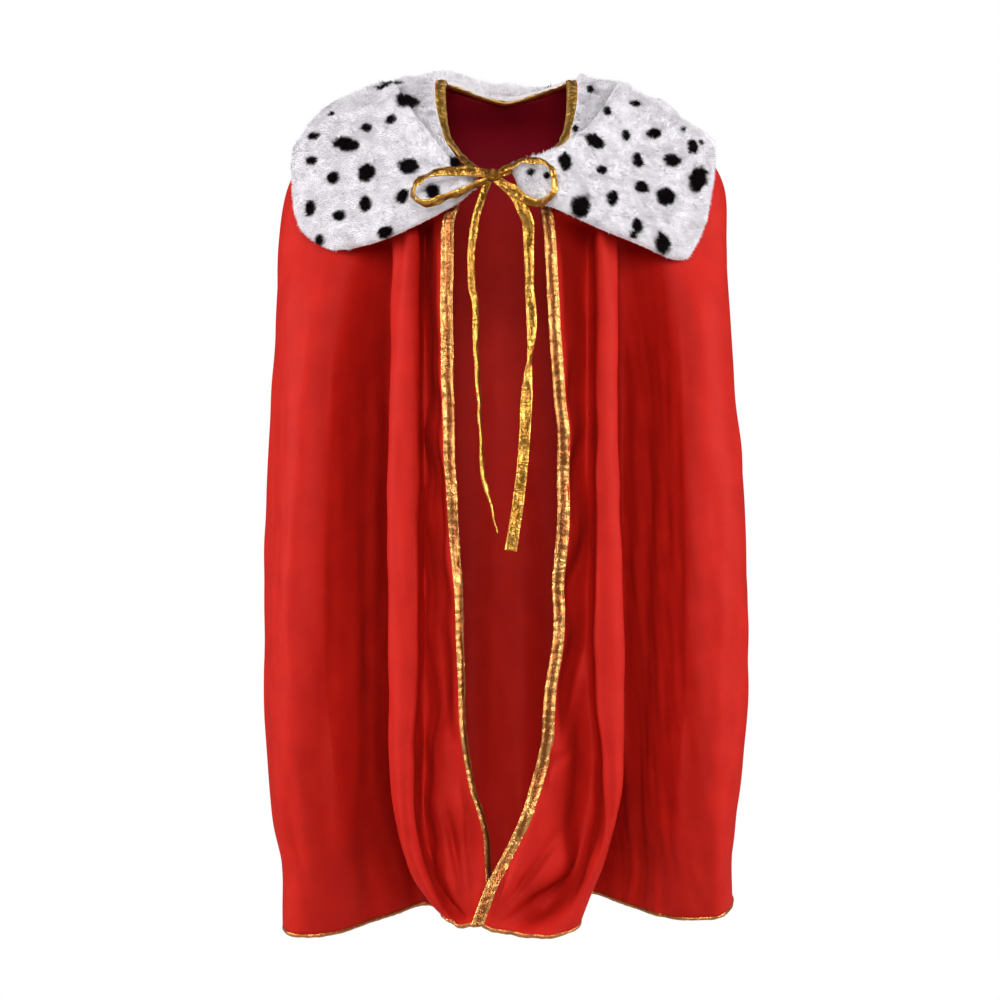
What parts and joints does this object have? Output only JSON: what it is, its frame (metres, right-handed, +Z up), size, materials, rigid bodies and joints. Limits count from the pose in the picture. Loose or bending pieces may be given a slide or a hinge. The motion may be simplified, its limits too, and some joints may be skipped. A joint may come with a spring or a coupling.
{
  "type": "royal robe costume",
  "caption": "Child's red cape robe with a wide spotted plush collar, gold bindings and gold tie ribbons in a bow at the throat.",
  "frame": {"origin": "middle of the neck opening, level with the throat ends of the neck binding", "axes": "+Z up along the hanging cloth, -Y towards the open front, +X to the right as seen from the front"},
  "size_m": [0.4726, 0.3142, 0.843],
  "materials": {
    "red_cloth": "smooth satin-faced knit, slightly shiny",
    "gold_binding": "metallic gold lame, crinkled",
    "gold_ribbon": "metallic gold lame, crinkled",
    "white_plush": "short pile with dark spots",
    "collar_lining": "smooth"
  },
  "bodies": {
    "robe": {"back_panel": "red_cloth", "left_side_panel": "red_cloth", "right_side_panel": "red_cloth", "back_hem_binding": "gold_binding", "left_side_hem_binding": "gold_binding", "right_side_hem_binding": "gold_binding", "neck_binding": "gold_binding", "collar_back": "white_plush", "collar_left": "white_plush", "collar_right": "white_plush", "collar_back_lining": "collar_lining", "collar_left_lining": "collar_lining", "collar_right_lining": "collar_lining", "bow_knot": "gold_ribbon", "left_tie_lead": "gold_ribbon", "right_tie_lead": "gold_ribbon", "left_tie_loop": "gold_ribbon", "right_tie_loop": "gold_ribbon"},
    "left_flap": {"left_front_flap": "red_cloth", "left_flap_hem_binding": "gold_binding", "left_front_binding": "gold_binding"},
    "right_flap": {"right_front_flap": "red_cloth", "right_flap_hem_binding": "gold_binding", "right_front_binding": "gold_binding"},
    "left_collar_point": {"collar_left_point": "white_plush", "collar_left_point_lining": "collar_lining"},
    "right_collar_point": {"collar_right_point": "white_plush", "collar_right_point_lining": "collar_lining"},
    "left_tail": {"left_tie_tail": "gold_ribbon"},
    "right_tail": {"right_tie_tail": "gold_ribbon"}
  },
  "joints": [
    {"name": "left_flap_open", "type": "hinge", "parent": "robe", "child": "left_flap", "pos_m": [-0.068, -0.111, -0.092], "axis": [-0.1381, 0.0736, -0.9877], "range_deg": [0, 40]},
    {"name": "right_flap_open", "type": "hinge", "parent": "robe", "child": "right_flap", "pos_m": [0.068, -0.111, -0.092], "axis": [-0.1381, -0.0736, 0.9877], "range_deg": [0, 40]},
    {"name": "left_point_lift", "type": "hinge", "parent": "robe", "child": "left_collar_point", "pos_m": [-0.20659, -0.05915, -0.03817], "axis": [-0.8411, 0.4739, 0.2606], "range_deg": [0, 70]},
    {"name": "right_point_lift", "type": "hinge", "parent": "robe", "child": "right_collar_point", "pos_m": [0.20652, -0.05919, -0.03616], "axis": [-0.8419, -0.4677, -0.269], "range_deg": [0, 70]},
    {"name": "left_tail_swing", "type": "hinge", "parent": "robe", "child": "left_tail", "pos_m": [-0.0175, -0.14, -0.0535], "axis": [-1, 0, 0], "range_deg": [0, 45]},
    {"name": "right_tail_swing", "type": "hinge", "parent": "robe", "child": "right_tail", "pos_m": [-0.0065, -0.14, -0.0535], "axis": [-1, 0, 0], "range_deg": [0, 20]}
  ]
}
